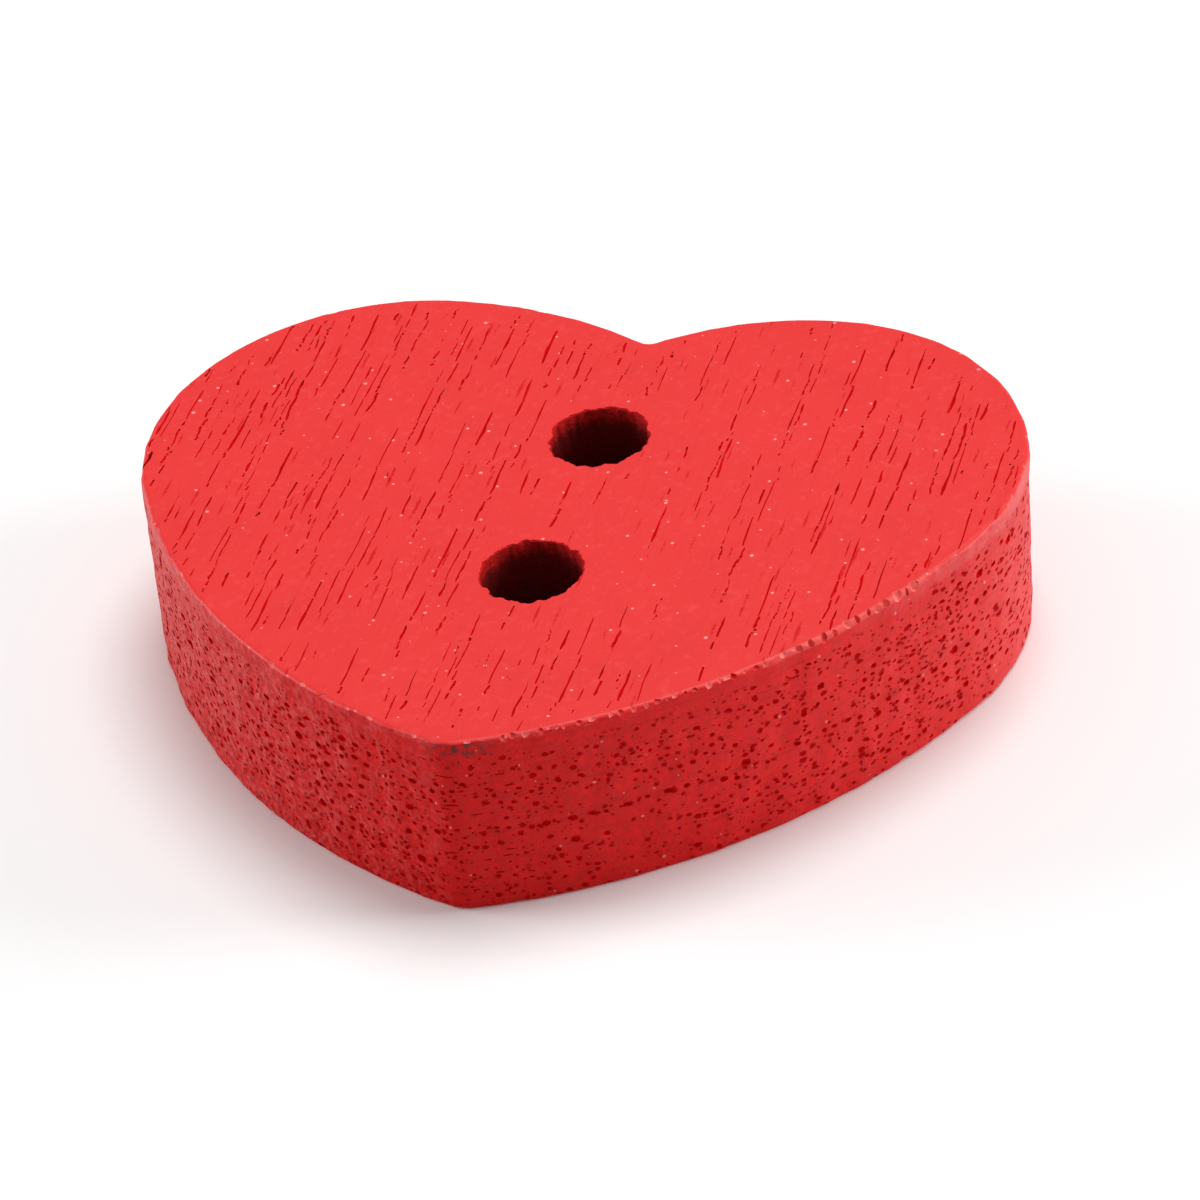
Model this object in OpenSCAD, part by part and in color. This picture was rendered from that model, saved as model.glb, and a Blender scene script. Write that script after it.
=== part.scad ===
// Heart-shaped wooden button with two sewing holes, cut from one flat piece.
// Lengths are millimetres. The button lies flat with its underside on z = 0,
// +X runs across both lobes and +Y runs from the point to the cleft.

/* [Heart] */
// width across both lobes
heart_width = 20; // [18:0.5:24]
// length from the lobe tops to the point
heart_length = 16; // [15:0.5:18]
// thickness of the wood
thickness = 4.5; // [3:0.25:6]
// radius of each lobe's outer curve
lobe_radius = 5.5; // [4.8:0.1:5.8]
// depth of the cleft below the lobe tops
cleft_depth = 1.3; // [0.8:0.1:1.8]
// radius at the bottom of the cleft
cleft_radius = 0.4; // [0.25:0.05:0.6]
// radius of the long curve between lobe and point
flank_radius = 15.5; // [14:0.5:18]
// radius of the point
point_radius = 1; // [0.6:0.1:1.5]
// sideways lean of the line from point to cleft, for each millimetre along it
axis_lean = 0.03; // [0:0.01:0.05]
// how far to the left the saw ran out on its way down through the wood
saw_lean = 0.25; // [0:0.05:0.5]
// rounding of the upper and lower edges
edge_radius = 0.1; // [0.1:0.05:0.4]

/* [Sewing holes] */
// diameter of each hole
hole_diameter = 2.2; // [1.6:0.1:2.8]
// distance between the hole centres
hole_pitch = 5; // [4:0.25:6.5]
// how far the pair of holes sits above mid-length
hole_rise = 0.5; // [0:0.1:1]
// broken edge of each hole, at 45 degrees
hole_chamfer = 0.1; // [0.05:0.05:0.2]

/* [Hidden] */
$fn = 96;
paint = [0.85, 0.1, 0.1];
// how far a cutter runs past the face that it opens
overrun = 0.5;

lobe_top = heart_length / 2;
point_end = -heart_length / 2;
lobe_x = heart_width / 2 - lobe_radius;

// The point, both holes and the cleft lie on one line, which leans a little to the right.
function on_axis(y) = [axis_lean * (y - point_end), y];

// The outline sits right of the middle at the upper face and left of it at the underside.
function saw_run(z) = [saw_lean * (z / thickness - 1 / 2), 0];

// The outline is a chain of tangent arcs: cleft, shoulder, lobe, flank and point.
cleft_bottom = on_axis(lobe_top - cleft_depth);
lobe_centre = [lobe_x, lobe_top - lobe_radius];
point_centre = [0, point_end + point_radius];

// The flank touches lobe and point from outside, so its centre is the third
// corner of a triangle over the line that joins their centres.
flank_to_lobe = flank_radius - lobe_radius;
flank_to_point = flank_radius - point_radius;
base_line = lobe_centre - point_centre;
base_length = norm(base_line);
base_way = base_line / base_length;
foot = (pow(flank_to_point, 2) - pow(flank_to_lobe, 2) + pow(base_length, 2)) / (2 * base_length);
height = sqrt(pow(flank_to_point, 2) - pow(foot, 2));
flank_centre = point_centre + foot * base_way + height * [-base_way.y, base_way.x];

// bearings at which one arc hands over to the next
function bearing(from, to) = atan2(to.y - from.y, to.x - from.x);
lobe_angle = bearing(flank_centre, lobe_centre);
point_angle = bearing(flank_centre, point_centre);

// The holes are square to the upper face and follow the outline there.
hole_places = [
    for (y = [hole_rise + hole_pitch / 2, hole_rise - hole_pitch / 2])
        on_axis(y) + saw_run(thickness)
];

// steps along each arc of the outline and round each edge
point_steps = 4;
flank_steps = 22;
lobe_steps = 28;
shoulder_steps = 12;
cleft_steps = 4;
edge_steps = 3;

// Points along an arc, without its last one, which starts the next arc.
function arc(centre, radius, from, to, steps) = [
    for (i = [0:steps - 1])
        let (angle = from + (to - from) * i / steps)
            centre + radius * [cos(angle), sin(angle)]
];

// Point, flank and lobe on the right, moved in by an inset that their radii lose.
function lower_arcs(inset) = concat(
    arc(point_centre, point_radius - inset, -90, point_angle, point_steps),
    arc(flank_centre, flank_radius - inset, point_angle, lobe_angle, flank_steps),
    arc(lobe_centre, lobe_radius - inset, lobe_angle, 90, lobe_steps)
);

// Shoulder and hollow cleft on the right, for a cleft that is across from the middle.
// The shoulder meets the lobe at its top and rolls into the cleft, which gains the inset.
function upper_arcs(inset, across) =
    let (
        reach = lobe_x - across,
        shoulder_radius = (pow(reach, 2) + pow(cleft_depth, 2)) / (2 * cleft_depth) - cleft_radius,
        shoulder_centre = [lobe_x, lobe_top - shoulder_radius],
        cleft_centre = [across, cleft_bottom.y + cleft_radius],
        shoulder_angle = bearing(shoulder_centre, cleft_centre),
        cleft_angle = bearing(cleft_centre, shoulder_centre)
    )
        concat(
            arc(shoulder_centre, shoulder_radius - inset, 90, shoulder_angle, shoulder_steps),
            arc(cleft_centre, cleft_radius + inset, cleft_angle, -90, cleft_steps),
            [cleft_centre - [0, cleft_radius + inset]]
        );

// The whole outline, anticlockwise from the point. The left side is worked out as a right
// side, with its cleft on the other hand, and then mirrored.
function outline(inset) =
    let (
        right = concat(lower_arcs(inset), upper_arcs(inset, cleft_bottom.x)),
        left = concat(lower_arcs(inset), upper_arcs(inset, -cleft_bottom.x)),
        last = len(left) - 1
    )
        concat(right, [for (i = [last - 1:-1:1]) [-left[i].x, left[i].y]]);

// Section of the rim as pairs of inset and height, from underside to upper face.
function rounding() = [
    for (i = [0:edge_steps])
        let (angle = 90 * i / edge_steps)
            edge_radius * [1 - sin(angle), 1 - cos(angle)]
];
function rim_section() = concat(
    rounding(),
    [for (i = [edge_steps:-1:0]) [rounding()[i].x, thickness - rounding()[i].y]]
);

// The blank is that section carried round the outline, which runs with the saw.
module heart_blank() {
    section = rim_section();
    rings = len(section);
    sides = len(outline(0));
    points = [
        for (step = section)
            for (place = outline(step.x))
                [place.x + saw_run(step.y).x, place.y, step.y]
    ];
    underside = [for (i = [0:sides - 1]) i];
    upper_face = [for (i = [0:sides - 1]) rings * sides - 1 - (i + sides - 1) % sides];
    rim = [
        for (ring = [0:rings - 2])
            for (i = [0:sides - 1])
                let (low = ring * sides, high = low + sides, next = (i + 1) % sides)
                    [low + i, high + i, high + next, low + next]
    ];
    polyhedron(points = points, faces = concat([underside, upper_face], rim));
}

// Drill for one sewing hole, with a countersink at each face.
module sewing_hole() {
    hole_radius = hole_diameter / 2;
    sink = hole_chamfer + overrun;
    translate([0, 0, -overrun])
        cylinder(h = thickness + 2 * overrun, r = hole_radius);
    translate([0, 0, -overrun])
        cylinder(h = sink, r1 = hole_radius + sink, r2 = hole_radius);
    translate([0, 0, thickness - hole_chamfer])
        cylinder(h = sink, r1 = hole_radius, r2 = hole_radius + sink);
}

module heart_button() {
    color(paint)
        difference() {
            heart_blank();
            for (place = hole_places)
                translate(place)
                    sewing_hole();
        }
}

heart_button();
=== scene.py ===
import math
import random
from contextlib import contextmanager
from dataclasses import dataclass

import bmesh
import bpy
from mathutils import Matrix, Vector


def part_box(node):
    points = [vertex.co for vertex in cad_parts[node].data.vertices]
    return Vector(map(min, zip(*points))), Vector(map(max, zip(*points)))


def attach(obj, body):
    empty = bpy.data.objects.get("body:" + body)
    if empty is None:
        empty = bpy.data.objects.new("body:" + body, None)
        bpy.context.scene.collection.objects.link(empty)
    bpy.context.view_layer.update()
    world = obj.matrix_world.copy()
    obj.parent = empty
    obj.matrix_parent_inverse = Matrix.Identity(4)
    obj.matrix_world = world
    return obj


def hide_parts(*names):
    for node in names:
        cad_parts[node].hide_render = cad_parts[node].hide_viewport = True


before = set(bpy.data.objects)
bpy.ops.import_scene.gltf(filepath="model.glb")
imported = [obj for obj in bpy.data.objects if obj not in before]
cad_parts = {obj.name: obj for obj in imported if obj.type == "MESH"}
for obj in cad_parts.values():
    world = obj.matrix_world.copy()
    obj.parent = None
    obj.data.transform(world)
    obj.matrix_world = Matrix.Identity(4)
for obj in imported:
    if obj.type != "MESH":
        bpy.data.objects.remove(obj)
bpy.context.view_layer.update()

# Sizes of the button, in metres. Its overall box comes from the frame
MM = 0.001
NODE = "heart_button"
LOW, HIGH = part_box(NODE)
SAW_LEAN = 0.25 * MM
HALF_WIDTH = (HIGH.x - LOW.x - SAW_LEAN) / 2
HALF_LENGTH = (HIGH.y - LOW.y) / 2
THICKNESS = HIGH.z - LOW.z
LOBE_RADIUS = 5.5 * MM
CLEFT_DEPTH = 1.3 * MM
CLEFT_RADIUS = 0.4 * MM
FLANK_RADIUS = 15.5 * MM
POINT_RADIUS = 1.0 * MM
EDGE_RADIUS = 0.1 * MM
AXIS_LEAN = 0.03
HOLE_RADIUS = 1.1 * MM
HOLE_FLARE = 0.03 * MM
HOLE_YS = (3.0 * MM, -2.0 * MM)
OVERRUN = 0.5 * MM
BARE_BAND = 0.45 * MM

# Height of each face, and the way that it faces
UPPER_FACE = (THICKNESS, 1)
UNDERSIDE = (0, -1)


def on_axis(y):
    """A place on the leaning line that joins the point, the holes and the cleft."""
    return Vector((AXIS_LEAN * (y + HALF_LENGTH), y))


def saw_run(z):
    """How far to the right the outline sits at a height, because the saw leaned."""
    return Vector((SAW_LEAN * (z / THICKNESS - 0.5), 0))


HOLES = [on_axis(y) + saw_run(THICKNESS) for y in HOLE_YS]

# The outline, a chain of tangent arcs, and the steps along each
POINT_STEPS = 5
FLANK_STEPS = 60
LOBE_STEPS = 56
SHOULDER_STEPS = 26
CLEFT_STEPS = 4


@dataclass
class Arc:
    """A stretch of the outline. One that turns clockwise is hollow."""

    centre: Vector
    radius: float
    start: float
    end: float
    steps: int

    def length(self):
        return abs(self.end - self.start) * self.radius

    def at(self, share):
        """The place a share of the way along, and the way that the wall faces there."""
        angle = self.start + (self.end - self.start) * share
        out = Vector((math.cos(angle), math.sin(angle)))
        return self.centre + self.radius * out, out * math.copysign(1, self.end - self.start)

    def mirrored(self):
        """The same stretch on the left, run the other way."""
        centre = Vector((-self.centre.x, self.centre.y))
        return Arc(centre, self.radius, math.pi - self.end, math.pi - self.start, self.steps)


def bearing(start, end):
    return math.atan2(end.y - start.y, end.x - start.x)


def touching_centre(inner, inner_radius, outer, outer_radius, radius):
    """Centre of an arc that touches two smaller arcs from outside, on their left."""
    to_inner = radius - inner_radius
    to_outer = radius - outer_radius
    base = outer - inner
    along = (to_inner**2 - to_outer**2 + base.length_squared) / (2 * base.length)
    across = math.sqrt(to_inner**2 - along**2)
    way = base.normalized()
    return inner + along * way + across * Vector((-way.y, way.x))


def side_arcs(cleft_x):
    """Arcs of a right side, from the point up to the bottom of the cleft."""
    down, up = -math.pi / 2, math.pi / 2
    point = Vector((0, POINT_RADIUS - HALF_LENGTH))
    lobe = Vector((HALF_WIDTH - LOBE_RADIUS, HALF_LENGTH - LOBE_RADIUS))
    flank = touching_centre(point, POINT_RADIUS, lobe, LOBE_RADIUS, FLANK_RADIUS)
    reach = lobe.x - cleft_x
    shoulder_radius = (reach**2 + CLEFT_DEPTH**2) / (2 * CLEFT_DEPTH) - CLEFT_RADIUS
    shoulder = Vector((lobe.x, HALF_LENGTH - shoulder_radius))
    cleft = Vector((cleft_x, HALF_LENGTH - CLEFT_DEPTH + CLEFT_RADIUS))
    to_point = bearing(flank, point)
    to_lobe = bearing(flank, lobe)
    return [
        Arc(point, POINT_RADIUS, down, to_point, POINT_STEPS),
        Arc(flank, FLANK_RADIUS, to_point, to_lobe, FLANK_STEPS),
        Arc(lobe, LOBE_RADIUS, to_lobe, up, LOBE_STEPS),
        Arc(shoulder, shoulder_radius, up, bearing(shoulder, cleft), SHOULDER_STEPS),
        Arc(cleft, CLEFT_RADIUS, bearing(cleft, shoulder), down, CLEFT_STEPS),
    ]


CLEFT_X = on_axis(HALF_LENGTH - CLEFT_DEPTH).x
RIGHT_SIDE = side_arcs(CLEFT_X)
LEFT_SIDE = [arc.mirrored() for arc in reversed(side_arcs(-CLEFT_X))]
OUTLINE = RIGHT_SIDE + LEFT_SIDE
CORNERS = [arc.at(step / arc.steps)[0] for arc in OUTLINE for step in range(arc.steps)]
WALL_LENGTH = sum(arc.length() for arc in OUTLINE)


def reach_along_grain(x):
    """Lowest and highest y of the outline at x."""
    crossings = []
    for start, end in zip(CORNERS, CORNERS[1:] + CORNERS[:1]):
        if min(start.x, end.x) <= x < max(start.x, end.x):
            share = (x - start.x) / (end.x - start.x)
            crossings.append(start.y + share * (end.y - start.y))
    return (min(crossings), max(crossings)) if crossings else (0, 0)


def on_wall(distance, z):
    """The place on the wall at a distance round from the point, and the way that it faces."""
    distance %= WALL_LENGTH
    for arc in OUTLINE:
        if distance < arc.length():
            break
        distance -= arc.length()
    place, facing = arc.at(distance / arc.length())
    return Vector((*(place + saw_run(z)), z)), facing


# Modelling steps that several pieces share
CLOUD_DEPTH = 2


def deselect():
    if bpy.context.object and bpy.context.object.mode != "OBJECT":
        bpy.ops.object.mode_set(mode="OBJECT")
    bpy.ops.object.select_all(action="DESELECT")


@contextmanager
def edit_mode():
    """Opens the new piece in edit mode, with all of it selected, and closes it afterwards."""
    bpy.ops.object.mode_set(mode="EDIT")
    bpy.ops.mesh.select_all(action="SELECT")
    yield bpy.context.object
    bpy.ops.object.mode_set(mode="OBJECT")


def select_edges(piece, chosen):
    """Selects, in edit mode, the edges whose two ends pass a test."""
    bpy.context.tool_settings.mesh_select_mode = (False, True, False)
    bpy.ops.mesh.select_all(action="DESELECT")
    mesh = bmesh.from_edit_mesh(piece.data)
    for edge in mesh.edges:
        edge.select = chosen(edge.verts[0].co, edge.verts[1].co)
    mesh.select_flush_mode()
    bmesh.update_edit_mesh(piece.data)


def disc(sides, radius, level):
    """A filled circle at a level, from which a tool is raised."""
    deselect()
    bpy.ops.mesh.primitive_circle_add(
        vertices=sides, radius=radius, fill_type="NGON", location=(0, 0, level),
    )
    bpy.ops.object.transform_apply(location=True)


def raise_face(step, scale=1.0, across=(0, 0)):
    """Extrudes the selected face upwards, moves it across and scales it."""
    bpy.ops.mesh.extrude_region_move(TRANSFORM_OT_translate={"value": (*across, step)})
    if scale != 1.0:
        bpy.ops.transform.resize(value=(scale, scale, 1))


def face_outwards():
    bpy.ops.mesh.select_all(action="SELECT")
    bpy.ops.mesh.normals_make_consistent(inside=False)


def lay_along_grain():
    """Turns what stands along Z to lie along Y."""
    bpy.ops.transform.rotate(value=math.pi / 2, orient_axis="X", center_override=(0, 0, 0))


def apply_modifier(piece, kind, **settings):
    bpy.context.view_layer.objects.active = piece
    modifier = piece.modifiers.new(kind.lower(), kind)
    for name, value in settings.items():
        setattr(modifier, name, value)
    bpy.ops.object.modifier_apply(modifier=modifier.name)


def roughen(piece, name, size, reach, **settings):
    """Pushes a surface in and out by soft noise."""
    texture = bpy.data.textures.new(name, "CLOUDS")
    texture.noise_scale = size
    texture.noise_depth = CLOUD_DEPTH
    apply_modifier(piece, "DISPLACE", texture=texture, strength=reach, mid_level=0.5, **settings)


def cut(piece, cutter):
    """Takes a cutter out of a piece. The new faces keep the cutter's finish."""
    apply_modifier(
        piece, "BOOLEAN", operation="DIFFERENCE", solver="MANIFOLD", object=cutter,
        material_mode="TRANSFER",
    )
    bpy.data.objects.remove(cutter, do_unlink=True)


# The wooden blank
WALL_ROWS = 12
EDGE_SEGMENTS = 4
SAW_WANDER = 0.15 * MM
SAW_WAVE = 0.6 * MM
NEAR = 0.01 * MM


def heart_blank():
    """Spins a corner round the arcs of the outline, fills and raises it, and rounds its edges."""
    deselect()
    bpy.ops.mesh.primitive_plane_add(size=MM, location=(0, -HALF_LENGTH, 0))
    bpy.ops.object.transform_apply(location=True)
    with edit_mode() as blank:
        blank.name = blank.data.name = "heart"
        bpy.ops.mesh.merge(type="CENTER")
        for arc in OUTLINE:
            turn = arc.end - arc.start
            bpy.ops.mesh.spin(
                steps=arc.steps, angle=abs(turn), center=(*arc.centre, 0),
                axis=(0, 0, -math.copysign(1, turn)),
            )
        bpy.ops.mesh.select_all(action="SELECT")
        bpy.ops.mesh.remove_doubles(threshold=NEAR)
        bpy.ops.mesh.edge_face_add()
        bpy.ops.transform.translate(value=(*saw_run(0), 0))
        for _ in range(WALL_ROWS):
            raise_face(THICKNESS / WALL_ROWS, across=(SAW_LEAN / WALL_ROWS, 0))
        select_edges(blank, round_a_face)
        bpy.ops.mesh.bevel(
            offset=EDGE_RADIUS, segments=EDGE_SEGMENTS, affect="EDGES", clamp_overlap=False,
        )
        face_outwards()
    # The saw wandered a little on the wall and not on the faces
    wall = blank.vertex_groups.new(name="wall")
    for vertex in blank.data.vertices:
        wall.add([vertex.index], 1 - abs(vertex.normal.z), "REPLACE")
    roughen(blank, "saw_wander", SAW_WAVE, SAW_WANDER, vertex_group="wall")
    return blank


def round_a_face(start, end):
    """Whether an edge with these ends runs round the upper face or the underside."""
    return abs(start.z - end.z) < NEAR and (start.z < NEAR or start.z > THICKNESS - NEAR)


# The sewing holes
DRILL_SIDES = 144
DRILL_ROWS = 10
RAGGED = 0.17 * MM
RAGGED_SIZE = 0.2 * MM


def drill(place, hole_finish):
    """A drill with a flare at each face, which leaves a ragged wall, stained and painted with shade.
    """
    flare = (HOLE_RADIUS + HOLE_FLARE + OVERRUN) / HOLE_RADIUS
    disc(DRILL_SIDES, HOLE_RADIUS * flare, -OVERRUN)
    with edit_mode() as tool:
        raise_face(OVERRUN + HOLE_FLARE, 1 / flare)
        for _ in range(DRILL_ROWS):
            raise_face((THICKNESS - 2 * HOLE_FLARE) / DRILL_ROWS)
        raise_face(OVERRUN + HOLE_FLARE, flare)
        face_outwards()
        bpy.ops.transform.translate(value=(*place, 0))
    tool.data.materials.append(hole_finish)
    roughen(tool, "ragged_wall", RAGGED_SIZE, RAGGED)
    return tool


# Shapes of the openings, each about 1 in radius. The grain runs along Y
KINDS = 8
VESSEL_SIDES = 5
VESSEL_ROWS = 4
VESSEL_TIP = 0.5
SWELLING = (0.55, 1.0)
WANDER = 0.45
PIT_SIDES = 6
WARP = 0.2


def vessel(dice):
    """A closed tube of the wood, of half length 1, that swells and wanders."""
    disc(VESSEL_SIDES, VESSEL_TIP, -1)
    step = 2 / (VESSEL_ROWS + 1)
    radius = VESSEL_TIP
    with edit_mode() as tube:
        for _ in range(VESSEL_ROWS):
            swollen = dice.uniform(*SWELLING)
            across = (dice.uniform(-WANDER, WANDER), dice.uniform(-WANDER, WANDER))
            raise_face(step, swollen / radius, across)
            radius = swollen
        raise_face(step, VESSEL_TIP / radius)
        face_outwards()
        lay_along_grain()
    return tube


def pit(seed):
    """A hollow that ends in a point at each end."""
    deselect()
    bpy.ops.mesh.primitive_uv_sphere_add(segments=PIT_SIDES, ring_count=2, radius=1)
    with edit_mode() as hollow:
        lay_along_grain()
        bpy.ops.transform.vertex_random(offset=WARP, seed=seed)
    return hollow


def chip(seed):
    """A lump, the shape of a bit that broke off an edge."""
    deselect()
    bpy.ops.mesh.primitive_ico_sphere_add(subdivisions=2, radius=1)
    with edit_mode() as lump:
        bpy.ops.transform.vertex_random(offset=WARP, seed=seed)
    return lump


# Openings that are cut together
PORE_ROOM = 1.3
CHIP_ROOM = 1.15


@dataclass
class Opening:
    """Where an opening is, its half width, half length and half height, and its turn about Z."""

    centre: Vector
    size: Vector
    heading: float = 0.0

    def extent(self):
        """Half sizes of the box round it."""
        along, across = math.cos(self.heading), math.sin(self.heading)
        width = math.hypot(self.size.x * along, self.size.y * across)
        length = math.hypot(self.size.x * across, self.size.y * along)
        return Vector((width, length, self.size.z))


class Openings:
    """Openings that keep clear of each other, and of others that were cut before them.

    Beside and above each other they keep a share of their sizes clear, which is the room.
    """

    CELL = 0.5 * MM

    def __init__(self, room, *others):
        self.room = room
        self.kept = []
        self.cells = {}
        for other in others:
            for opening in other.kept:
                self.remember(opening)

    def cell(self, centre):
        return int(centre.x // self.CELL), int(centre.z // self.CELL)

    def remember(self, opening):
        self.cells.setdefault(self.cell(opening.centre), []).append(opening)

    def neighbours(self, centre):
        column, row = self.cell(centre)
        for i in (-1, 0, 1):
            for k in (-1, 0, 1):
                yield from self.cells.get((column + i, row + k), ())

    def touch(self, opening, other):
        gap = opening.centre - other.centre
        sizes = opening.extent() + other.extent()
        beside = abs(gap.x) > sizes.x * self.room or abs(gap.z) > sizes.z * self.room
        return not beside and abs(gap.y) < sizes.y

    def add(self, opening):
        """Adds an opening, unless it would touch one that is there."""
        if any(self.touch(opening, other) for other in self.neighbours(opening.centre)):
            return
        self.remember(opening)
        self.kept.append(opening)

    def share_with(self, other, share, dice):
        """Hands a share of these to others that are cut with another finish."""
        for opening in list(self.kept):
            if dice.random() < share:
                self.kept.remove(opening)
                other.kept.append(opening)

    def cutter(self, kinds, finish, dice):
        """One cutter for all: copies of a few kinds, turned and stretched to their sizes."""
        batch = bmesh.new()
        for opening in self.kept:
            shape = dice.choice(kinds).data.copy()
            spin = Matrix.Rotation(dice.uniform(0, math.tau), 4, "Y")
            heading = Matrix.Rotation(opening.heading, 4, "Z")
            place = Matrix.Translation(opening.centre) @ heading
            shape.transform(place @ Matrix.Diagonal((*opening.size, 1)) @ spin)
            batch.from_mesh(shape)
            bpy.data.meshes.remove(shape)
        mesh = bpy.data.meshes.new("openings")
        batch.to_mesh(mesh)
        batch.free()
        mesh.materials.append(finish)
        cutter = bpy.data.objects.new("openings", mesh)
        bpy.context.collection.objects.link(cutter)
        for kind in kinds:
            bpy.data.objects.remove(kind, do_unlink=True)
        return cutter


def mostly_small(sizes, power, dice):
    """A size between two. The higher the power, the more of them are small."""
    small, large = sizes
    return small + (large - small) * dice.random() ** power


# Lines of open vessels on the two faces
LINE_PITCH = 0.29 * MM
LINE_SPACING = (0.4, 1.6)
LINE_DRIFT = 0.015
CHAIN_LENGTHS = (0.4 * MM, 5.0 * MM)
CHAIN_GAPS = (0.2 * MM, 3.0 * MM)
CHAIN_BOLDNESS = (0.6, 1.0)
STRAND_RADII = (0.037 * MM, 0.061 * MM)
STRAND_HALVES = (0.07 * MM, 0.75 * MM)
SHORT_STRANDS = 2
STRAND_GAPS = (0.0, 0.05 * MM)
STRAND_WANDER = 0.025 * MM
STRAND_DEPTH = 0.6
STRAND_SUNK = 0.2
CALM_PLACE = Vector((2.6 * MM, -3.4 * MM))
CALM_SIZE = 3.6 * MM
CALM_GAPS = 3
EDGE_ROOM = 0.12 * MM
EDGE_SPLIT = (-9.6 * MM, 1.1 * MM)
EDGE_SPLIT_SIZE = (0.06 * MM, 0.32 * MM, 0.22 * MM)


def face_pores(pores, level, out, dice):
    """Broken lines along the grain of a face, fewer where the wood is calm."""
    x = -HALF_WIDTH
    while x < HALF_WIDTH:
        x += LINE_PITCH * dice.uniform(*LINE_SPACING)
        drift = dice.gauss(0, LINE_DRIFT)
        low, high = reach_along_grain(x)
        y = low - dice.uniform(*CHAIN_GAPS)
        while y < high:
            chain_end = y + dice.uniform(*CHAIN_LENGTHS)
            bold = dice.uniform(*CHAIN_BOLDNESS)
            while y < chain_end:
                half = mostly_small(STRAND_HALVES, SHORT_STRANDS, dice)
                radius = bold * dice.uniform(*STRAND_RADII)
                y += half
                place = Vector((x + drift * (y - low) + dice.gauss(0, STRAND_WANDER), y))
                if inside_face(place, half):
                    sunk = dice.uniform(-STRAND_SUNK, STRAND_SUNK) * radius
                    centre = Vector((*(place + saw_run(level)), level - out * sunk))
                    pores.add(Opening(centre, Vector((radius, half, STRAND_DEPTH * radius))))
                y += half + dice.uniform(*STRAND_GAPS)
            calm = math.exp(-(((Vector((x, y)) - CALM_PLACE).length / CALM_SIZE) ** 2))
            y += dice.uniform(*CHAIN_GAPS) * (1 + CALM_GAPS * calm)


def inside_face(place, half):
    """Whether a strand keeps clear of the edge and of the holes."""
    low, high = reach_along_grain(place.x)
    if not low + half + EDGE_ROOM < place.y < high - half - EDGE_ROOM:
        return False
    for hole in HOLES:
        gap = place + saw_run(THICKNESS) - hole
        if abs(gap.x) < HOLE_RADIUS + EDGE_ROOM and abs(gap.y) < HOLE_RADIUS + EDGE_ROOM + half:
            return False
    return True


def edge_split(pores):
    """A short split in the upper edge, at the left end of the left lobe."""
    pores.add(Opening(Vector((*EDGE_SPLIT, THICKNESS)), Vector(EDGE_SPLIT_SIZE)))


# Pits in the wall. A layer of growth is a height and its spread
CLUSTERS = 780
TORN_CLUSTERS = 110
TORN_REACH = 12 * MM
CLUSTER_PITS = (2, 11)
CLUSTER_STEP = 0.14 * MM
STEP_SPACING = (0.7, 1.5)
HEADING_SPREAD = 0.7
HEADING_KEPT = 0.7
HEADING_TURN = 0.6
CLUSTER_RISE = 0.7
LAYERS = (
    (1.1 * MM, 0.25 * MM), (2.0 * MM, 0.1 * MM), (2.9 * MM, 0.25 * MM), (3.4 * MM, 0.25 * MM),
)
BETWEEN_LAYERS = 0.12
PIT_RADII = (0.034 * MM, 0.085 * MM)
SMALL_PITS = 1.6
PIT_WIDTHS = (0.8, 1.5)
PIT_HEIGHTS = (0.7, 1.2)
PIT_DEPTH = 1.0
PIT_SUNK = 0.1
GROOVE_DEPTH = 2.2
TORN_SIZE = 1.2
TORN_LENGTH = 1.7


def wall_pores(pores, dice):
    """Open ends of vessels in the wall, in small groups that follow the layers of growth.

    The saw tore more of them open on the left.
    """
    stretches = [(0, WALL_LENGTH)] * CLUSTERS + [(-TORN_REACH, 0)] * TORN_CLUSTERS
    for stretch in stretches:
        distance = dice.uniform(*stretch)
        z = dice.gauss(*dice.choice(LAYERS))
        if dice.random() < BETWEEN_LAYERS:
            z = dice.uniform(EDGE_RADIUS, THICKNESS - BARE_BAND)
        heading = dice.gauss(0, HEADING_SPREAD)
        for _ in range(dice.randint(*CLUSTER_PITS)):
            if EDGE_RADIUS < z < THICKNESS - BARE_BAND:
                radius = mostly_small(PIT_RADII, SMALL_PITS, dice)
                wall_pit(pores, distance, z, radius, dice)
            heading = HEADING_KEPT * heading + dice.gauss(0, HEADING_TURN)
            step = CLUSTER_STEP * dice.uniform(*STEP_SPACING)
            distance += step * math.cos(heading)
            z += CLUSTER_RISE * step * math.sin(heading)


def wall_pit(pores, distance, z, radius, dice):
    """One open end. Where the grain runs along the wall it is a groove, and longer on the left."""
    place, facing = on_wall(distance, z)
    square = abs(facing.y)
    half = radius * (PIT_DEPTH + (GROOVE_DEPTH - PIT_DEPTH) * (1 - square) ** 2)
    if facing.x < 0 and facing.y < 0:
        radius *= TORN_SIZE
        half *= TORN_LENGTH
    into = PIT_SUNK * half * math.copysign(square, -facing.y)
    width = radius * dice.uniform(*PIT_WIDTHS)
    height = radius * dice.uniform(*PIT_HEIGHTS)
    pores.add(Opening(place + Vector((0, into, 0)), Vector((width, half, height))))


LARGE_ROW_Z = 2.0 * MM
LARGE_ROW_SPREAD = 0.07 * MM
LARGE_ROW_COUNT = 36
LARGE_STRAY_COUNT = 60
LARGE_STRAY_LEVELS = (0.3 * MM, THICKNESS - 2 * BARE_BAND)
LARGE_RADII = (0.065 * MM, 0.115 * MM)


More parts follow.
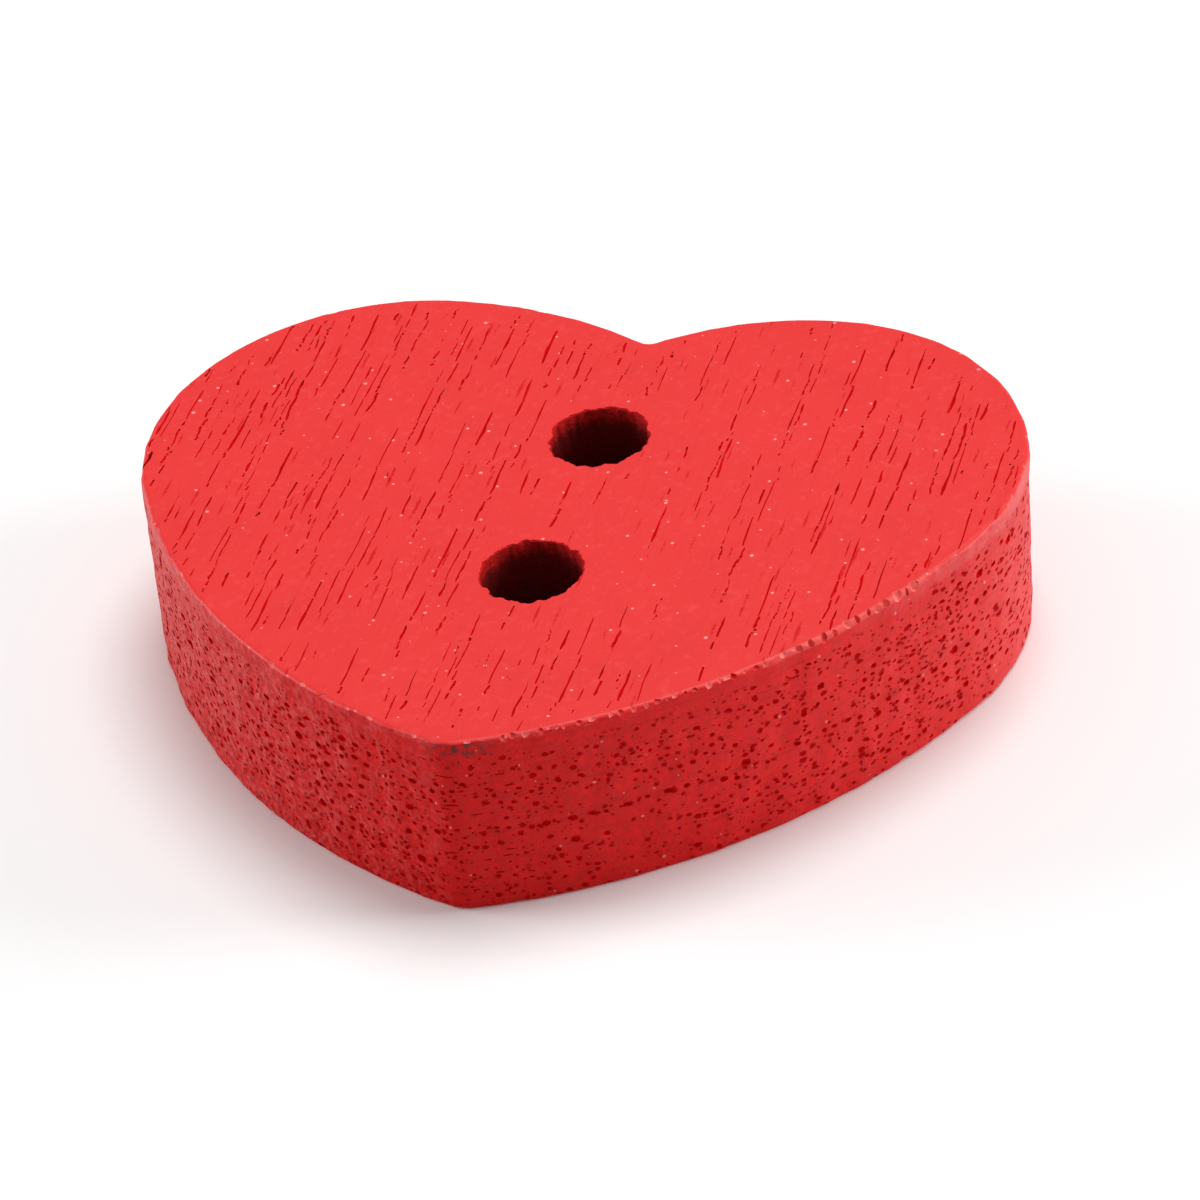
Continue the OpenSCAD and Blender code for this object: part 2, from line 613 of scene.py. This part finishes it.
def large_pores(pores, dice):
    """A row of large vessels half way up the right flank, and strays elsewhere."""
    point, flank = RIGHT_SIDE[:2]
    for pore in range(LARGE_ROW_COUNT):
        distance = point.length() + flank.length() * (pore + dice.random()) / LARGE_ROW_COUNT
        z = dice.gauss(LARGE_ROW_Z, LARGE_ROW_SPREAD)
        wall_pit(pores, distance, z, dice.uniform(*LARGE_RADII), dice)
    for _ in range(LARGE_STRAY_COUNT):
        z = dice.uniform(*LARGE_STRAY_LEVELS)
        wall_pit(pores, dice.uniform(0, WALL_LENGTH), z, dice.uniform(*LARGE_RADII), dice)


SLIT_COUNT = 24
SLIT_WIDTHS = (0.08 * MM, 0.3 * MM)
SLIT_HEIGHTS = (0.016 * MM, 0.035 * MM)
SLIT_DEPTH = 0.06 * MM
SLIT_SPREAD = 1.3 * MM
SLIT_LEVELS = (0.5 * MM, THICKNESS - BARE_BAND)


def point_slits(pores, dice):
    """Level slits in the wall near the point, where the saw tore the grain."""
    for _ in range(SLIT_COUNT):
        z = dice.uniform(*SLIT_LEVELS)
        place, _ = on_wall(dice.uniform(-SLIT_SPREAD, SLIT_SPREAD), z)
        size = Vector((dice.uniform(*SLIT_WIDTHS), SLIT_DEPTH, dice.uniform(*SLIT_HEIGHTS)))
        pores.add(Opening(place, size))


def open_pores(dice):
    """Strands on both faces, and pits in the wall between them."""
    strands = Openings(PORE_ROOM)
    edge_split(strands)
    face_pores(strands, *UPPER_FACE, dice)
    face_pores(strands, *UNDERSIDE, dice)
    pits = Openings(PORE_ROOM, strands)
    large_pores(pits, dice)
    point_slits(pits, dice)
    wall_pores(pits, dice)
    return strands, pits


# Broken edges
@dataclass
class Damage:
    """A stretch of edge, and the bits that broke off it.

    Start and end are distances round from the point, and lengths are shares of the radius.
    """

    start: float
    end: float
    pitch: float
    radii: tuple
    lengths: tuple
    depths: tuple
    spread: float = 0.0
    skew: float = 0.0


NICKED = Damage(
    start=0, end=WALL_LENGTH, pitch=0.4 * MM,
    radii=(0.15 * MM, 0.4 * MM), lengths=(1.0, 2.0), depths=(0.0, 0.035 * MM),
)
CHIPPED = Damage(
    start=0, end=WALL_LENGTH, pitch=1.1 * MM,
    radii=(0.03 * MM, 0.08 * MM), lengths=(1.0, 2.6), depths=(0.005 * MM, 0.03 * MM),
)
FRAYED = Damage(
    start=1.2 * MM, end=7.4 * MM, pitch=0.11 * MM,
    radii=(0.05 * MM, 0.12 * MM), lengths=(0.5, 1.2), depths=(0.02 * MM, 0.05 * MM),
    spread=0.05 * MM, skew=0.5,
)
CRUMBLED = Damage(
    start=7.4 * MM, end=11.2 * MM, pitch=0.05 * MM,
    radii=(0.1 * MM, 0.19 * MM), lengths=(0.35, 0.8), depths=(0.04 * MM, 0.1 * MM),
    spread=0.1 * MM, skew=0.7,
)
NOTCHED = Damage(
    start=-5.75 * MM, end=-5.55 * MM, pitch=0.2 * MM,
    radii=(0.12 * MM, 0.13 * MM), lengths=(0.9, 1.0), depths=(0.1 * MM, 0.11 * MM),
)
PALE_SHARE = 0.5
INWARD_SHARE = 0.25


def broken_edge(bits, damage, level, out, dice):
    """Hollows along the edge of a face, which reach in from the corner at 45 degrees."""
    run = damage.end - damage.start
    count = round(run / damage.pitch)
    rounded_off = (math.sqrt(2) - 1) * EDGE_RADIUS
    for bit in range(count):
        place, facing = on_wall(damage.start + run * (bit + dice.random()) / count, level)
        radius = dice.uniform(*damage.radii)
        away = (radius - dice.uniform(*damage.depths) - rounded_off) / math.sqrt(2)
        down = damage.spread * dice.random()
        aside = facing * (away - down * INWARD_SHARE)
        centre = place + Vector((*aside, out * (away - down)))
        size = Vector((radius * dice.uniform(*damage.lengths), radius, radius))
        heading = math.atan2(facing.x, -facing.y) + dice.uniform(-damage.skew, damage.skew)
        bits.add(Opening(centre, size, heading))


def broken_edges(dice):
    """Pale chips off the upper edge, crumbs that kept their paint, and wide nicks on both edges."""
    chipped = Openings(CHIP_ROOM)
    crumbled = Openings(CHIP_ROOM)
    broken_edge(chipped, CHIPPED, *UPPER_FACE, dice)
    broken_edge(crumbled, CRUMBLED, *UPPER_FACE, dice)
    broken_edge(crumbled, FRAYED, *UPPER_FACE, dice)
    crumbled.share_with(chipped, PALE_SHARE, dice)
    nicked = Openings(CHIP_ROOM, chipped, crumbled)
    broken_edge(nicked, NOTCHED, *UNDERSIDE, dice)
    broken_edge(nicked, NICKED, *UPPER_FACE, dice)
    broken_edge(nicked, NICKED, *UNDERSIDE, dice)
    return chipped, crumbled, nicked


# Finishes
class Value:
    """A socket whose arithmetic adds Math nodes to its finish."""

    def __init__(self, finish, socket):
        self.finish = finish
        self.socket = socket

    def beside(self, name):
        """Another output of the same node."""
        return Value(self.finish, self.socket.node.outputs[name])

    def _math(self, operation, first, second):
        return self.finish.node("ShaderNodeMath", {"operation": operation}, {0: first, 1: second})

    def __add__(self, other):
        return self._math("ADD", self, other)

    __radd__ = __add__

    def __sub__(self, other):
        return self._math("SUBTRACT", self, other)

    def __rsub__(self, other):
        return self._math("SUBTRACT", other, self)

    def __mul__(self, other):
        return self._math("MULTIPLY", self, other)

    __rmul__ = __mul__


class Finish:
    """A material whose nodes are written as expressions."""

    def __init__(self, name):
        self.material = bpy.data.materials.new(name)
        self.material.use_nodes = True
        self.tree = self.material.node_tree
        self.tree.nodes.clear()
        self.output = self.tree.nodes.new("ShaderNodeOutputMaterial")
        self.place = self.node("ShaderNodeTexCoord", {}, {}, "Object")

    def node(self, kind, settings, sockets, out=0):
        made = self.tree.nodes.new(kind)
        for name, value in settings.items():
            setattr(made, name, value)
        for name, value in sockets.items():
            if isinstance(value, Value):
                self.tree.links.new(value.socket, made.inputs[name])
            else:
                made.inputs[name].default_value = value
        return Value(self, made.outputs[out])

    def axis(self, vector, letter):
        return self.node("ShaderNodeSeparateXYZ", {}, {"Vector": vector}, letter)

    def facing(self, letter):
        normal = self.node("ShaderNodeNewGeometry", {}, {}, "Normal")
        return self.axis(normal, letter)

    def stretched(self, sizes, place=None):
        """A place, or object coordinates, divided by a grain size along each axis."""
        scale = [1 / size for size in sizes]
        return self.node("ShaderNodeMapping", {}, {"Vector": place or self.place, "Scale": scale})

    def warped(self, size, reach):
        """Object coordinates pushed about by noise, so that spots lose their round shape."""
        push = self.node(
            "ShaderNodeTexNoise", {}, {"Vector": self.stretched((size,) * 3), "Scale": 1.0}, "Color"
        )
        return self.node(
            "ShaderNodeVectorMath", {"operation": "MULTIPLY_ADD"},
            {0: push, 1: (reach,) * 3, 2: self.place},
        )

    def noise(self, sizes, detail=2.0, roughness=0.5):
        return self.node(
            "ShaderNodeTexNoise", {},
            {"Vector": self.stretched(sizes), "Scale": 1.0, "Detail": detail, "Roughness": roughness},
        )

    def spots(self, sizes, small, large, soft, place=None):
        """Mask of one spot in each cell, with radii between two shares of the cell."""
        cells = {"Vector": self.stretched(sizes, place), "Scale": 1.0}
        distance = self.node("ShaderNodeTexVoronoi", {}, cells, "Distance")
        chance = self.axis(distance.beside("Color"), "X")
        radius = small + chance * chance * chance * (large - small)
        return self.step(radius - distance, -soft, soft)

    def near(self, place, size):
        """Mask that fades from a place to a distance from it."""
        distance = self.node(
            "ShaderNodeVectorMath", {"operation": "DISTANCE"}, {0: self.place, 1: place}, "Value"
        )
        return self.step(distance, size, 0.0)

    def step(self, value, low, high):
        """Mask that rises softly from 0 at low to 1 at high."""
        return self.node(
            "ShaderNodeMapRange", {"interpolation_type": "SMOOTHSTEP"},
            {"Value": value, "From Min": low, "From Max": high},
        )

    def layered(self, colour, *layers):
        """A colour with others laid over it. A layer is the share of it that shows, and its colour."""
        for share, over in layers:
            colour = self.node(
                "ShaderNodeMix", {"data_type": "RGBA", "blend_type": "MIX"},
                {0: share, 6: colour, 7: over}, 2,
            )
        return colour

    def bump(self, height, distance, strength):
        return self.node(
            "ShaderNodeBump", {}, {"Strength": strength, "Distance": distance, "Height": height}
        )

    def shade(self, sockets):
        shader = self.node("ShaderNodeBsdfPrincipled", {}, sockets)
        self.tree.links.new(shader.socket, self.output.inputs["Surface"])
        return self.material


# Colours
RED = (0.80, 0.027, 0.026, 1)
DEEP_RED = (0.68, 0.017, 0.016, 1)
PALE_RED = (0.92, 0.12, 0.115, 1)
WALL_RED = (0.76, 0.008, 0.008, 1)
DARK_WALL_RED = (0.54, 0.004, 0.004, 1)
# Pale pink of a painted sheen on the wall
PAINTED_SHEEN_PINK = (0.74, 0.10, 0.10, 1)
PORE_RED = (0.36, 0.002, 0.003, 1)
STRAND_RED = (0.46, 0.003, 0.004, 1)
PALE_STRAND_RED = (0.72, 0.007, 0.009, 1)
PIT_RED = (0.58, 0.003, 0.004, 1)
PALE_PIT_RED = (0.82, 0.008, 0.009, 1)
# Pale pink of worn paint; along the upper edge it also stands for a painted highlight
WORN_PINK = (0.93, 0.14, 0.125, 1)
CHIP = (0.97, 0.21, 0.19, 1)
RUBBED_GREY = (0.06, 0.02, 0.02, 1)
SPECK = (0.93, 0.36, 0.35, 1)
STAIN = (0.56, 0.010, 0.010, 1)
# Stain deep in the holes, darkened further as painted shade
DEEP_STAIN_AND_SHADE = (0.16, 0.005, 0.005, 1)

# Grain of the paint along each axis
CLOUDS = (2.4 * MM,) * 3
STREAKS = (0.08 * MM, 1.6 * MM, 0.08 * MM)
TOOTH = (0.06 * MM,) * 3
LUMPS = (0.2 * MM,) * 3
SPONGE = (0.17 * MM,) * 3
GROWTH = (1.2 * MM, 1.2 * MM, 0.1 * MM)
END_PORES = (0.16 * MM, 0.22 * MM, 0.14 * MM)
FINE_PORES = (0.15 * MM, 1.4 * MM, 0.15 * MM)
SPECKS = (0.26 * MM,) * 3
CROOKED_SIZE = 0.1 * MM
CROOKED_REACH = 0.08 * MM
SUNK_TOOTH = (0.04 * MM,) * 3
CHIP_TOOTH = (0.07 * MM,) * 3
HOLE_FIBRES = (0.09 * MM, 0.16 * MM, 0.09 * MM)

# Places that wear marked, and two places on the wall where sheen is painted
LEFT_SHEEN_PLACE = on_wall(-11.5 * MM, THICKNESS)[0]
RIGHT_SHEEN_PLACE = on_wall(14.5 * MM, THICKNESS)[0]
SHEEN_PLACE_SIZE = 6.0 * MM
CRUMBLED_PLACE = on_wall((CRUMBLED.start + CRUMBLED.end) / 2, THICKNESS)[0]
CRUMBLED_SIZE = CRUMBLED.end - CRUMBLED.start
RUBBED_PLACE = (0.4 * MM, -7.9 * MM, THICKNESS)
RUBBED_SIZE = 1.1 * MM
DARK_ROW_HALF = 0.2 * MM
RIM_DEPTH = 0.7 * MM
PAINT_RELIEF = 0.02 * MM
HOLE_RELIEF = 0.05 * MM


class RedPaint(Finish):
    """Satin red paint, thin enough to show the grain, worn along the upper edge, with a painted
    highlight along that edge, painted sheen on the wall and painted shade on the point.
    """

    def __init__(self):
        super().__init__("red_paint")
        self.level = self.axis(self.place, "Z")
        self.tilt = self.facing("Z")
        across_grain = self.facing("Y")
        self.end_grain = across_grain * across_grain
        self.side_grain = 1 - self.end_grain
        self.left = self.step(self.facing("X"), -0.1, -0.8)
        self.wall = 1 - self.step(self.tilt * self.tilt, 0.1, 0.6)
        self.bare = self.step(self.level, THICKNESS - BARE_BAND * 1.2, THICKNESS - BARE_BAND * 0.6)
        self.cloud = self.noise(CLOUDS, 3.0)
        self.streak = self.noise(STREAKS, 3.0)
        self.lumps = self.noise(LUMPS, 2.0, 0.6)
        self.sponge = self.noise(SPONGE, 1.0)
        crooked = self.warped(CROOKED_SIZE, CROOKED_REACH)
        end_spots = self.spots(END_PORES, 0.1, 0.5, 0.14, crooked)
        self.end_pores = self.wall * (1 - self.bare) * end_spots
        self.fine_pores = (1 - self.wall) * self.spots(FINE_PORES, 0.02, 0.26, 0.1, crooked)

    def face(self):
        """Colour of the upper face and the underside."""
        return self.layered(
            RED,
            (self.step(self.cloud, 0.3, 0.8) * 0.3, DEEP_RED),
            (self.step(self.streak, 0.45, 0.8) * 0.3, DEEP_RED),
            (self.step(self.lumps, 0.5, 0.8) * 0.2, PALE_RED),
            (self.fine_pores * 0.3, PORE_RED),
        )

    def side(self):
        """Colour of the wall, darker in the end grain, which partly paints shade on the point, with
        painted sheen on the side grain, painted highlights on the ridges of the left flank and painted
        sheen at two places below the upper edge.
        """
        growth = self.noise(GROWTH, 3.0)
        row = self.step(self.level, LARGE_ROW_Z - DARK_ROW_HALF, LARGE_ROW_Z)
        row = row * self.step(self.level, LARGE_ROW_Z + DARK_ROW_HALF, LARGE_ROW_Z)
        sheen_places = self.near(LEFT_SHEEN_PLACE, SHEEN_PLACE_SIZE) + self.near(RIGHT_SHEEN_PLACE, SHEEN_PLACE_SIZE)
        # Painted sheen: a little everywhere, more on the side grain, as highlights on the ridges of
        # the left flank, and at two places below the upper edge
        painted_sheen = self.step(self.lumps, 0.45, 0.75) * 0.07
        painted_sheen = painted_sheen + self.side_grain * self.side_grain * self.side_grain * 0.2
        painted_sheen = painted_sheen + self.left * self.step(self.sponge, 0.4, 0.7) * 0.6
        painted_sheen = painted_sheen + self.bare * sheen_places * self.step(self.cloud + self.lumps, 0.7, 1.1) * 0.7
        return self.layered(
            WALL_RED,
            # Darker in the end grain, which faces front and back; on the point this darkening partly
            # paints shade
            (self.step(self.lumps + self.end_grain * 0.5, 0.4, 1.2), DARK_WALL_RED),
            (self.step(growth + row * 0.12, 0.5, 0.8) * 0.5, PORE_RED),
            (painted_sheen, PAINTED_SHEEN_PINK),
            (self.end_pores * 0.85, PORE_RED),
        )

    def worn(self, colour):
        """A colour with the pink of the upper edge, which is worn paint and partly a painted
        highlight, the rubbed point and pale specks over it.
        """
        upper = self.step(self.level, THICKNESS - EDGE_RADIUS * 1.8, THICKNESS - EDGE_RADIUS * 0.9)
        edge = upper * self.step(self.tilt, 0.97, 0.85)
        torn = self.near(CRUMBLED_PLACE, CRUMBLED_SIZE)
        rubbed = self.wall * self.bare * self.near(RUBBED_PLACE, RUBBED_SIZE)
        specks = (1 - self.wall * 0.4) * self.spots(SPECKS, -0.03, 0.17, 0.04)
        return self.layered(
            colour,
            # Pale pink along the upper edge: worn paint, and partly a painted highlight on the
            # rounding
            (edge * self.step(self.cloud + self.lumps + torn * 0.5, 1.0, 1.4) * 0.5, WORN_PINK),
            (rubbed * self.step(self.lumps, 0.42, 0.58) * 0.9, RUBBED_GREY),
            (specks * 0.8, SPECK),
        )

    def relief(self):
        """Height of the surface, roughest on the left of the wall."""
        tooth = self.noise(TOOTH, 2.0, 0.6)
        height = tooth * 0.2 + self.streak * 0.4 - self.fine_pores * 0.8 + self.lumps * 0.3
        height = height + self.wall * self.sponge * (3 + self.left * 17)
        return height - self.end_pores * 3.5

    def painted(self):
        gloss = 0.75 - self.wall * (0.55 - self.side_grain * 0.5)
        return self.shade({
            "Base Color": self.worn(self.layered(self.face(), (self.wall, self.side()))),
            "Roughness": 0.5,
            "Specular IOR Level": 0.0,
            "Coat Weight": (1 - self.end_pores) * (1 - self.fine_pores) * gloss,
            "Coat Roughness": 0.45,
            "Normal": self.bump(self.relief(), PAINT_RELIEF, 0.6),
        })


def sunk_paint(name, dark, pale):
    """The darker paint at the bottom of the pores."""
    coat = Finish(name)
    colour = coat.layered(dark, (coat.noise(SUNK_TOOTH), pale))
    return coat.shade({"Base Color": colour, "Roughness": 0.7, "Specular IOR Level": 0.0})


def chipped_paint():
    """Paler paint where bits broke off the edge."""
    coat = Finish("chipped_paint")
    colour = coat.layered(CHIP, (coat.step(coat.noise(CHIP_TOOTH), 0.35, 0.65), WORN_PINK))
    return coat.shade({"Base Color": colour, "Roughness": 0.6, "Specular IOR Level": 0.2})


def hole_stain_and_shade():
    """Fibrous wood inside the holes, dark with stain, and darker the deeper it is, which is painted
    shade.
    """
    coat = Finish("stained_and_shaded_hole")
    level = coat.axis(coat.place, "Z")
    fibres = coat.noise(HOLE_FIBRES, 4.0, 0.7)
    middle = coat.node("ShaderNodeMath", {"operation": "ABSOLUTE"}, {0: level - THICKNESS / 2})
    rim = coat.step(middle, THICKNESS / 2 - RIM_DEPTH, THICKNESS / 2)
    # Paler stain near the rims, darker with depth as painted shade
    colour = coat.layered(DEEP_STAIN_AND_SHADE, (coat.step(rim * 0.8 + fibres * 1.4, 0.95, 1.6), STAIN))
    return coat.shade({
        "Base Color": colour,
        "Roughness": 0.8,
        "Specular IOR Level": 0.1,
        "Normal": coat.bump(fibres, HOLE_RELIEF, 0.9),
    })


# The button
GRAIN_SEED = 11
SMOOTH_ANGLE = math.radians(40)
FLAT = 0.9999


def button():
    """The painted heart, with its holes, its broken edges and its open pores."""
    dice = random.Random(GRAIN_SEED)
    red = RedPaint().painted()
    hole_finish = hole_stain_and_shade()
    heart = heart_blank()
    heart.data.materials.append(red)
    for place in HOLES:
        cut(heart, drill(place, hole_finish))
    chipped, crumbled, nicked = broken_edges(dice)
    strands, pits = open_pores(dice)
    for bits, finish in ((chipped, chipped_paint()), (crumbled, red), (nicked, red)):
        cut(heart, bits.cutter([chip(seed) for seed in range(KINDS)], finish, dice))
    strand_paint = sunk_paint("paint_in_strands", STRAND_RED, PALE_STRAND_RED)
    cut(heart, strands.cutter([vessel(dice) for _ in range(KINDS)], strand_paint, dice))
    pit_paint = sunk_paint("paint_in_pits", PIT_RED, PALE_PIT_RED)
    cut(heart, pits.cutter([pit(seed) for seed in range(KINDS)], pit_paint, dice))
    smooth(heart)
    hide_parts(NODE)
    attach(heart, "root")


def smooth(piece):
    """Smooth shading, with sharp edges round the flat faces and where the finish changes."""
    deselect()
    piece.select_set(True)
    bpy.context.view_layer.objects.active = piece
    bpy.ops.object.shade_smooth_by_angle(angle=SMOOTH_ANGLE)
    mesh = bmesh.new()
    mesh.from_mesh(piece.data)
    for edge in mesh.edges:
        if len(edge.link_faces) == 2:
            one, other = edge.link_faces
            rim = (abs(one.normal.z) > FLAT) != (abs(other.normal.z) > FLAT)
            if rim or one.material_index != other.material_index:
                edge.smooth = False
    mesh.to_mesh(piece.data)
    mesh.free()


# Camera, in the photograph's frame of 1200 by 1200 pixels
FRAME_PIXELS = 1200
FOCAL_PIXELS = 5533
SENSOR_WIDTH = 36
CAMERA_AZIMUTH = math.radians(20.41)
CAMERA_ELEVATION = math.radians(36.23)
CAMERA_ROLL = math.radians(-8.51)
CAMERA_DISTANCE = 120 * MM
NEAREST_SEEN = 1 * MM
FACE_CENTRE_PIXEL = (548.2, 515.4)


def camera():
    """Sees the middle of the upper face at its pixel of the photograph."""
    flat = math.cos(CAMERA_ELEVATION)
    back = Vector((
        math.sin(CAMERA_AZIMUTH) * flat, -math.cos(CAMERA_AZIMUTH) * flat, math.sin(CAMERA_ELEVATION),
    ))
    level = Vector((math.cos(CAMERA_AZIMUTH), math.sin(CAMERA_AZIMUTH), 0))
    above = back.cross(level)
    right = math.cos(CAMERA_ROLL) * level + math.sin(CAMERA_ROLL) * above
    up = back.cross(right)
    across = (FACE_CENTRE_PIXEL[0] - FRAME_PIXELS / 2) / FOCAL_PIXELS
    down = (FACE_CENTRE_PIXEL[1] - FRAME_PIXELS / 2) / FOCAL_PIXELS
    lens = bpy.data.cameras.new("camera")
    lens.sensor_width = SENSOR_WIDTH
    lens.lens = FOCAL_PIXELS / FRAME_PIXELS * SENSOR_WIDTH
    lens.clip_start = NEAREST_SEEN
    eye = bpy.data.objects.new("camera", lens)
    face = Vector((*saw_run(THICKNESS), THICKNESS))
    eye.location = face + CAMERA_DISTANCE * (back - across * right + down * up)
    eye.rotation_euler = Matrix((right, up, back)).transposed().to_euler()
    bpy.context.collection.objects.link(eye)
    bpy.context.scene.camera = eye


# Studio. A light has a place and a size in metres, and a power in watts
LIGHTS = {
    "key": ((0.04, 0.10, 0.35), 0.20, 0.74),
    "fill": ((0.29, 0.09, 0.10), 0.15, 0.52),
    "left": ((-0.30, -0.02, 0.10), 0.15, 0.42),
}
ROOM_WHITE = (1, 1, 1, 1)
ROOM_LIGHT = 0.35
FLOOR_WHITE = (0.95, 0.95, 0.95, 1)
FLOOR_SIZE = 2
FLOOR_GAP = 0.002 * MM


def softbox(name, place, size, power):
    """A round soft light that faces the button."""
    lamp = bpy.data.lights.new(name, "AREA")
    lamp.shape = "DISK"
    lamp.size = size
    lamp.energy = power
    box = bpy.data.objects.new(name, lamp)
    box.location = place
    box.rotation_euler = (-Vector(place)).to_track_quat("-Z", "Y").to_euler()
    bpy.context.collection.objects.link(box)


def studio():
    """A pale floor, an even room and the lights."""
    deselect()
    bpy.ops.mesh.primitive_plane_add(size=FLOOR_SIZE, location=(0, 0, -FLOOR_GAP))
    floor = bpy.context.object
    floor.name = "floor"
    white = Finish("white_table")
    floor.data.materials.append(white.shade({"Base Color": FLOOR_WHITE, "Roughness": 0.9}))
    room = bpy.data.worlds.new("studio")
    room.use_nodes = True
    background = room.node_tree.nodes["Background"]
    background.inputs["Color"].default_value = ROOM_WHITE
    background.inputs["Strength"].default_value = ROOM_LIGHT
    bpy.context.scene.world = room
    for name, (place, size, power) in LIGHTS.items():
        softbox(name, place, size, power)
    bpy.context.scene.view_settings.view_transform = "Standard"


button()
camera()
studio()
